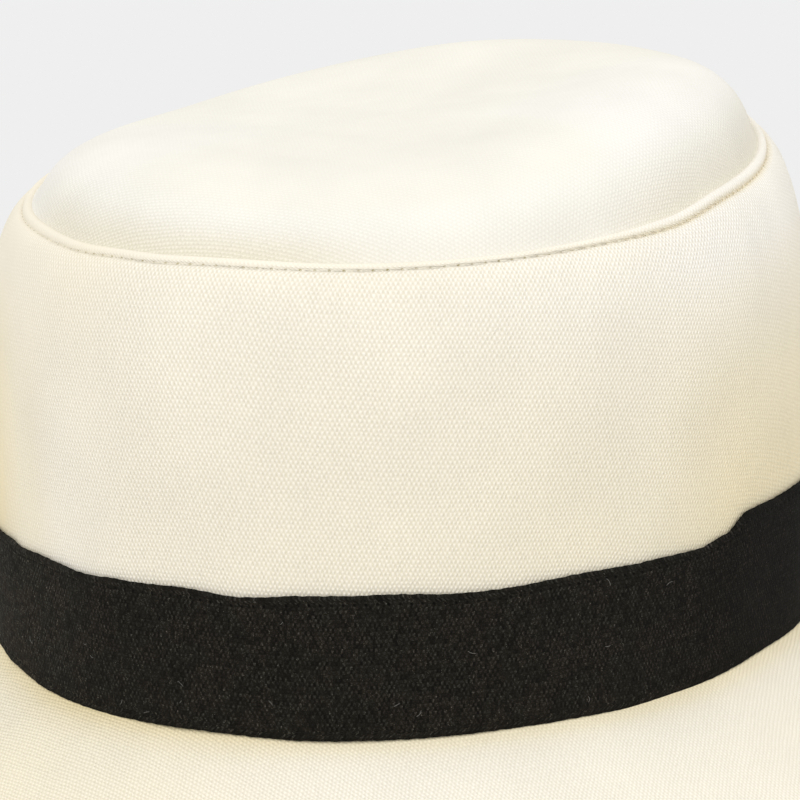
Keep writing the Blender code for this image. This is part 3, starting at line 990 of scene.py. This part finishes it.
def make_tip(form):
    """The crown's tip: a disc that swells over its seam, with its edge turned down inside.

    Its edge follows the inner flank of the roll, and is pressed into it where the two meet. The turned
    edge gets its own normals, so that its thickness lies towards the hat's inside.
    """
    sizes = form.sizes
    turn = columns_round(TIP_COLUMNS)
    rim = form.rim(turn)
    wide, roll = (MM * size for size in round_the_hat(SEAM_ROWS, "wide roll", turn))
    meet = np.radians(round_the_hat(SEAM_ROWS, "meet", turn))
    straight = form.on_seam(turn, -2.0 * wide - TIP_CLEARANCE, rim - (1.0 - steps(6)) * sizes.tip_turn)
    way = steps(5, 1)
    swing = math.pi + way * (meet - math.pi)
    off = TIP_CLEARANCE - way * (TIP_CLEARANCE + TIP_PRESS)
    flank = form.on_seam(turn, -wide * (1.0 - np.cos(swing)) - off, rim + roll * np.sin(swing) + off)
    inset = wide * (1.0 - np.cos(meet)) - TIP_PRESS
    # Rows close together by the seam and wider apart further in, then even ones over the inner 70 %.
    reach = np.concatenate([1.0 - 0.30 * steps(34, 1) ** 1.7, 0.70 - 0.70 * steps(26, 1)])
    size = np.maximum(reach, 1e-5)
    top = oval(form.seam[0] * size, form.seam[1] * size, turn,
               reach ** 2 * (form.swell(turn, 1.0) - inset), form.tip_level(reach, turn))
    points = np.concatenate([straight, flank, top])
    normals = face_normals(points)
    out = outward_normal(*form.seam, turn)
    # Along the flank the normals turn from outwards to straight up.
    lean = math.pi / 2.0 * steps(len(flank) + 1)[..., None]
    flank_rows = slice(len(straight) - 1, len(straight) + len(flank))
    normals[flank_rows] = np.cos(lean) * out + np.sin(lean) * [0.0, 0.0, 1.0]
    normals[:len(straight)] = out
    cloth = two_faced(points[:-1], sizes.canvas, closed=False, normals=normals[:-1])
    middle = np.repeat(points[-1:].mean(axis=1, keepdims=True), points.shape[1], axis=1)
    rows = np.concatenate([middle - [0.0, 0.0, sizes.canvas], cloth, middle])
    edge_reach = np.ones((len(straight) + len(flank), 1))
    layers = {"Cloth": plan_map(points, 100.0),
              "PaintedLight": tip_painted_light(form, turn, np.concatenate([edge_reach, reach]))}
    for key, layer in layers.items():
        body = follow_faces(layer[:-1], closed=False)
        layers[key] = np.concatenate([layer[-1:], body, layer[-1:]])
    material = canvas_material("tip", "tip_shade", TIP_PARTING)
    return cloth_object("crown_tip_cloth", rows, layers, material, poles=True)


def band_rows(form, turn, share, outward):
    """Points over the side at a share of the band's height, standing off it by outward.

    Both edges wander, and fray by fast sine waves that fade within the first few per cent of the height.
    """
    sizes = form.sizes
    foot = form.band_foot + form.foot_wander(turn)
    top = form.band_foot + sizes.band_height + MM * round_the_hat(BAND_TOP_WANDER, "rise", turn)
    fray = 0.05 * np.sin(97.0 * turn + 2.0 * np.sin(31.0 * turn))
    fray = MM * (fray + 0.05 * np.sin(211.0 * turn + 1.7 * np.sin(17.0 * turn)))
    level = foot + share * (top - foot) + fray * (2.0 * share - 1.0) ** 9
    points = form.side(turn, form.share_at(turn, level), outward)
    points[..., 2] = level
    return points


BAND_FULLNESS = 0.12 * MM
BAND_SEW_DEPTH = 0.10 * MM
BAND_SEW_WIDTH = 0.7 * MM


def band_outward(form, share):
    """How far the band's outer face stands off the side at a share of its height.

    It swells as half a sine wave, less a bell along each row of stitches.
    """
    height = form.sizes.band_height
    margin = settings("sun_hat_stitches").band_margin / height
    low = bell((share - margin) * height, BAND_SEW_WIDTH)
    high = bell((share - 1.0 + margin) * height, BAND_SEW_WIDTH)
    swell = BAND_FULLNESS * np.sin(math.pi * share) - BAND_SEW_DEPTH * (low + high)
    return form.sizes.gap + form.sizes.band_cloth + swell


def make_band(form):
    """The band round the foot of the crown."""
    turn = columns_round(BAND_COLUMNS)
    # Close rows along both edges, where the cloth frays and is sewn.
    edge = np.array([0.0, 0.02, 0.04, 0.055, 0.07, 0.085, 0.11])
    share = np.concatenate([edge, np.linspace(0.16, 0.84, 11), 1.0 - edge[::-1]])[:, None]
    points = band_rows(form, turn, share, band_outward(form, share))
    closed = with_last_column(points)
    cloth_map = np.stack([running_length(closed, 1), running_length(closed, 0)], axis=-1)
    shine = round_the_hat(BAND_SHINE_ROWS, "light", turn)
    layers = {"Cloth": follow_faces(cloth_map), "PaintedLight": follow_faces(two_value_map(shine, share))}
    cloth = two_faced(points, form.sizes.band_cloth)
    return cloth_object("hat_band_cloth", cloth, layers, band_material("Band cloth"))


def brim_level(form, reach, turn):
    """Level of the brim's upper face from the crown, reach 0, to the hem, reach 1.

    It falls a little faster near the crown: reach x (1 + 0.13 x (1 - reach)) of the whole drop.
    """
    share = reach * (1.0 + 0.13 * (1.0 - reach))
    level = form.sizes.brim_cloth + form.brim_drop * (1.0 - share)
    return level + reach ** 2 * form.hem_lift(turn) + (1.0 - reach) ** 4 * form.foot_wander(turn)


def brim_face(form, turn):
    """Rows of the brim's upper face from the hem inwards, then up inside the crown."""
    sizes = form.sizes
    inset = -form.brim_inset
    hem_level = sizes.brim_cloth + form.hem_lift(turn)
    hem = oval(*form.crown, turn, inset + form.brim_reach + (1.0 - steps(7)) * sizes.hem_width, hem_level)
    reach = 1.0 - steps(46, 1)
    push = form.swell(turn, 0.0)
    slope = oval(*form.crown, turn, inset + reach * form.brim_reach + (1.0 - reach) ** 2 * push,
                 brim_level(form, reach, turn))
    leg = oval(*form.crown, turn, inset + push, slope[-1:, :, 2] + steps(6, 1) * sizes.brim_turn)
    return np.concatenate([hem, slope, leg])


BAND_SHADE_STRIP = 5.5 * MM
FLOOR_CLEARANCE = 0.02 * MM


def make_brim(form):
    """The brim: two layers as one cloth, with a flat hem and an edge turned up inside the crown.

    It has painted shade in a narrow strip beside the crown, under the band, and painted light and
    shade round the hat.
    """
    turn = columns_round(BRIM_COLUMNS)
    points = brim_face(form, turn)
    cloth = two_faced(points, form.sizes.brim_cloth)
    cloth[..., 2] = np.maximum(cloth[..., 2], FLOOR_CLEARANCE)
    outward = np.linalg.norm(points[..., :2] - points[-1, :, :2], axis=-1)
    # Painted shade: the brim's paleness round the hat, less a strip of painted shadow beside the band.
    pale = round_the_hat(PALE_ROWS, "brim", turn) - 1.2 * bell(outward, BAND_SHADE_STRIP)
    layers = {"Cloth": follow_faces(plan_map(points, -40.0)), "PaintedLight": follow_faces(two_value_map(pale, 0.8))}
    return cloth_object("brim_cloth", cloth, layers, canvas_material("brim"))


STITCH_DIP = 0.9


def stitch_paths(line, normal, count, rise, share=0.70, rings=11):
    """Paths of a row of stitches along a closed line, and their normals.

    A stitch covers most of its length from one needle hole towards the next. It stands a rise over the
    cloth at its middle and dips under it at both ends, as a sine to the 0.6th. Both are in thread widths.
    """
    thread = settings("sun_hat_stitches").thread
    closed = np.concatenate([line, line[:1]])
    way = np.concatenate([[0.0], np.cumsum(np.linalg.norm(np.diff(closed, axis=0), axis=1))])
    run = np.linspace(0.0, 1.0, rings)
    wanted = (np.arange(count)[:, None] + 0.5 + share * (run - 0.5)) * way[-1] / count
    place, direction = (
        np.stack([np.interp(wanted, way, np.append(part, part[0])) for part in values.T], axis=-1)
        for values in (line, normal))
    direction = unit(direction)
    height = thread * ((rise + STITCH_DIP) * np.sin(math.pi * run) ** 0.6 - STITCH_DIP)
    return place + height[None, :, None] * direction, direction


def sewn(name, rows, material, sides=8):
    """One mesh of all the stitches in some rows of paths and normals, in two-strand thread."""
    paths, normals = (np.concatenate(part) for part in zip(*rows))
    radius = settings("sun_hat_stitches").thread / 2.0
    return thread_object(name, paths, normals, radius, material, sides, twist=2.5)


def make_tip_stitches(form):
    """The row of cream stitches in the groove below the rolled seam."""
    turn = columns_round(SIDE_COLUMNS)
    depth = groove_depth(form, turn, np.zeros((1, 1)))[0]
    normal = GROOVE_LEAN[0] * outward_normal(*form.seam, turn)[0] + [0.0, 0.0, GROOVE_LEAN[1]]
    line = form.on_seam(turn, 0.0, form.rim(turn))[0] - depth[:, None] * normal
    row = stitch_paths(line, normal, seam_stitches(form), -0.3)
    material = thread_material("Cream thread", settings("sun_hat_colours").cream_thread)
    return sewn("tip_seam_stitches", [row], material)


def make_band_stitches(form):
    """Two rows of black stitches, one along each edge of the band."""
    stitches = settings("sun_hat_stitches")
    turn = columns_round(BAND_COLUMNS)
    margin = stitches.band_margin / form.sizes.band_height
    normal = outward_normal(*form.crown, turn)[0]
    rows = []
    for share in (margin, 1.0 - margin):
        line = band_rows(form, turn, share, band_outward(form, np.array([[share]])))[0]
        count = round(running_length(line[None], 1)[0, -1] / stitches.band_stitch)
        rows.append(stitch_paths(line, normal, count, 0.0))
    material = thread_material("Black thread", settings("sun_hat_colours").black_thread)
    return sewn("band_stitches", rows, material)


def make_hem_stitches(form):
    """The row of cream stitches that holds the brim's hem."""
    sizes = form.sizes
    turn = columns_round(BRIM_COLUMNS)
    outward = form.brim_reach - form.brim_inset + 0.25 * sizes.hem_width
    line = oval(*form.crown, turn, outward, sizes.brim_cloth + form.hem_lift(turn))[0]
    normal = np.broadcast_to([0.0, 0.0, 1.0], line.shape)
    count = round(running_length(line[None], 1)[0, -1] / settings("sun_hat_stitches").hem_stitch)
    row = stitch_paths(line, normal, count, 0.3, rings=9)
    material = thread_material("Hem thread", settings("sun_hat_colours").cream_thread)
    return sewn("hem_stitches", [row], material, sides=6)


LINT_COUNT = 46
LINT_SEED = 11
LINT_RADIUS = 0.035 * MM


def make_lint(form):
    """Short curled fibres caught on the band, each a bent hair lying on the cloth."""
    chance = np.random.default_rng(LINT_SEED)
    at = chance.uniform(-math.pi, math.pi, LINT_COUNT)
    share = chance.uniform(0.06, 0.94, LINT_COUNT)
    heading = chance.uniform(0.0, ROUND, LINT_COUNT)
    bend = chance.uniform(-1.8, 1.8, LINT_COUNT)
    long = chance.uniform(0.8, 2.4, LINT_COUNT) * MM
    run = np.linspace(-0.5, 0.5, 9)[None, :]
    way = heading[:, None] + bend[:, None] * run
    across = np.cumsum(np.cos(way), axis=1) * long[:, None] / run.shape[1]
    up = np.cumsum(np.sin(way), axis=1) * long[:, None] / run.shape[1]
    turn = at[:, None] + across / form.crown[1]
    lifted = MM * (0.10 + 0.10 * np.cos(math.pi * run))
    height = form.sizes.band_height
    points = band_rows(form, turn, share[:, None] + up / height,
                       form.sizes.gap + form.sizes.band_cloth + lifted + 0.12 * MM)
    normals = outward_normal(*form.crown, turn)
    material = speckled_material("Lint", settings("sun_hat_colours").lint, 0.4, 900.0, 0.00002, 0.6, 0.3)
    return thread_object("band_lint", points, normals, LINT_RADIUS, material, sides=5)


def on_hat(piece, slot, *nodes):
    """Fixes a piece to the hat and hides the plain solids that it stands for."""
    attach(piece, "root")
    if nodes:
        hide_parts(*nodes)
    return piece


class HAT_OT_crown_side(bpy.types.Operator):
    """Make the crown's side, with its rolled and stitched upper seam"""

    bl_idname = "sun_hat.crown_side"
    bl_label = "Crown side"

    def execute(self, context):
        form = HatForm()
        on_hat(make_side(form), "side_canvas", "crown_side")
        on_hat(make_tip_stitches(form), "side_canvas")
        return {"FINISHED"}


class HAT_OT_crown_tip(bpy.types.Operator):
    """Make the crown's swelling tip"""

    bl_idname = "sun_hat.crown_tip"
    bl_label = "Crown tip"

    def execute(self, context):
        on_hat(make_tip(HatForm()), "tip_canvas", "crown_tip")
        return {"FINISHED"}


class HAT_OT_hat_band(bpy.types.Operator):
    """Make the black band with its stitches and stray fibres"""

    bl_idname = "sun_hat.hat_band"
    bl_label = "Hat band"

    def execute(self, context):
        form = HatForm()
        band = on_hat(make_band(form), "band_cloth", "hat_band")
        stitching = on_hat(make_band_stitches(form), "band_cloth")
        lint = on_hat(make_lint(form), "band_cloth")
        turn = columns_round(BAND_COLUMNS)
        middle = with_last_column(band_rows(form, turn, 0.5, 0.0))
        return {"FINISHED"}


class HAT_OT_brim(bpy.types.Operator):
    """Make the brim and the stitches of its hem"""

    bl_idname = "sun_hat.brim"
    bl_label = "Brim"

    def execute(self, context):
        form = HatForm()
        on_hat(make_brim(form), "brim_canvas", "brim")
        on_hat(make_hem_stitches(form), "brim_canvas")
        return {"FINISHED"}


FLOOR_COLUMNS = 96
FLOOR_RADIUS = 12.0


def make_floor():
    """A plain round floor, as a grid of rings."""
    turn = np.linspace(0.0, ROUND, FLOOR_COLUMNS, endpoint=False)[None, :]
    radius = np.array([0.001, 0.3, 0.8, 2.0, 5.0, FLOOR_RADIUS])[:, None]
    points = oval(radius, radius, turn)
    faces = ring_quads(*points.shape[:2]).reshape(-1, 4).tolist()
    tint = settings("sun_hat_stage").floor
    material = speckled_material("Floor", tint, 0.998, 3.0, 0.00001, 1.0, 0.0)
    return put_mesh("floor", points.reshape(-1, 3), faces, {}, material)


def towards(azimuth, elevation):
    """Unit vector from the hat: azimuth round it from its front towards +X, elevation over the level."""
    flat = math.cos(elevation)
    return Vector((math.sin(azimuth) * flat, -math.cos(azimuth) * flat, math.sin(elevation)))


def make_camera(stage):
    """The camera, at the photograph's distance, azimuth, elevation and roll."""
    foot = Vector((0.0, 0.0, BAND_LOW.z))
    aim = foot + Vector((stage.aim_right, stage.aim_back, stage.aim_up))
    location = foot + towards(stage.azimuth, stage.elevation) * stage.distance
    level = (aim - location).to_track_quat("-Z", "Y").to_matrix().to_4x4()
    data = bpy.data.cameras.new("Camera")
    data.sensor_width = 36.0
    data.lens = stage.lens
    data.clip_start, data.clip_end = 0.01, 50.0
    camera = bpy.data.objects.new("Camera", data)
    camera.matrix_world = Matrix.Translation(location) @ level @ Matrix.Rotation(stage.roll, 4, "Z")
    bpy.context.scene.collection.objects.link(camera)
    bpy.context.scene.camera = camera


def make_lamp(name, strength, azimuth, elevation, spread):
    """A wide, soft lamp, far enough away to light the whole floor evenly."""
    data = bpy.data.lights.new(name, "SUN")
    data.energy = strength
    data.angle = spread
    lamp = bpy.data.objects.new(name, data)
    place = towards(azimuth, elevation)
    facing = (-place).to_track_quat("-Z", "Y").to_matrix().to_4x4()
    lamp.matrix_world = Matrix.Translation(place * 2.0) @ facing
    bpy.context.scene.collection.objects.link(lamp)


class HAT_OT_stage(bpy.types.Operator):
    """Make the floor, the soft lights and the camera"""

    bl_idname = "sun_hat.stage"
    bl_label = "Stage"

    def execute(self, context):
        stage = settings("sun_hat_stage")
        make_floor()
        make_camera(stage)
        world = bpy.data.worlds.new("Studio")
        world.use_nodes = True
        background = world.node_tree.nodes["Background"]
        background.inputs["Color"].default_value = WHITE
        background.inputs["Strength"].default_value = stage.sky
        context.scene.world = world
        make_lamp("Key lamp", stage.key, stage.key_azimuth, stage.key_elevation, stage.spread)
        make_lamp("Fill lamp", stage.fill, stage.fill_azimuth, stage.fill_elevation, stage.spread)
        context.scene.view_settings.view_transform = "Standard"
        return {"FINISHED"}


class HAT_PT_sun_hat(bpy.types.Panel):
    """The hat's pieces and settings"""

    bl_idname = "HAT_PT_sun_hat"
    bl_label = "Canvas Sun Hat"
    bl_space_type = "VIEW_3D"
    bl_region_type = "UI"
    bl_category = "Sun Hat"

    def draw(self, context):
        for maker in MAKERS:
            self.layout.operator(maker.bl_idname)
        for group, kind in GROUPS.items():
            box = self.layout.box()
            box.label(text=kind.__name__)
            for key in kind.__annotations__:
                box.prop(getattr(context.scene, group), key)


GROUPS = {
    "sun_hat_sizes": HatSizes,
    "sun_hat_stitches": HatStitches,
    "sun_hat_weave": HatWeave,
    "sun_hat_colours": HatColours,
    "sun_hat_stage": HatStage,
}
MAKERS = [HAT_OT_crown_side, HAT_OT_crown_tip, HAT_OT_hat_band, HAT_OT_brim, HAT_OT_stage]
CLASSES = [*GROUPS.values(), *MAKERS, HAT_PT_sun_hat]


def register():
    """Registers the classes and puts each group of settings on the scene."""
    for kind in CLASSES:
        bpy.utils.register_class(kind)
    for group, kind in GROUPS.items():
        setattr(bpy.types.Scene, group, bpy.props.PointerProperty(type=kind))


def unregister():
    """Takes the settings off the scene and unregisters the classes."""
    for group in GROUPS:
        delattr(bpy.types.Scene, group)
    for kind in reversed(CLASSES):
        bpy.utils.unregister_class(kind)


def main():
    """Makes the hat and its stage."""
    register()
    bpy.ops.sun_hat.crown_side()
    bpy.ops.sun_hat.crown_tip()
    bpy.ops.sun_hat.hat_band()
    bpy.ops.sun_hat.brim()
    bpy.ops.sun_hat.stage()


if __name__ == "__main__":
    main()
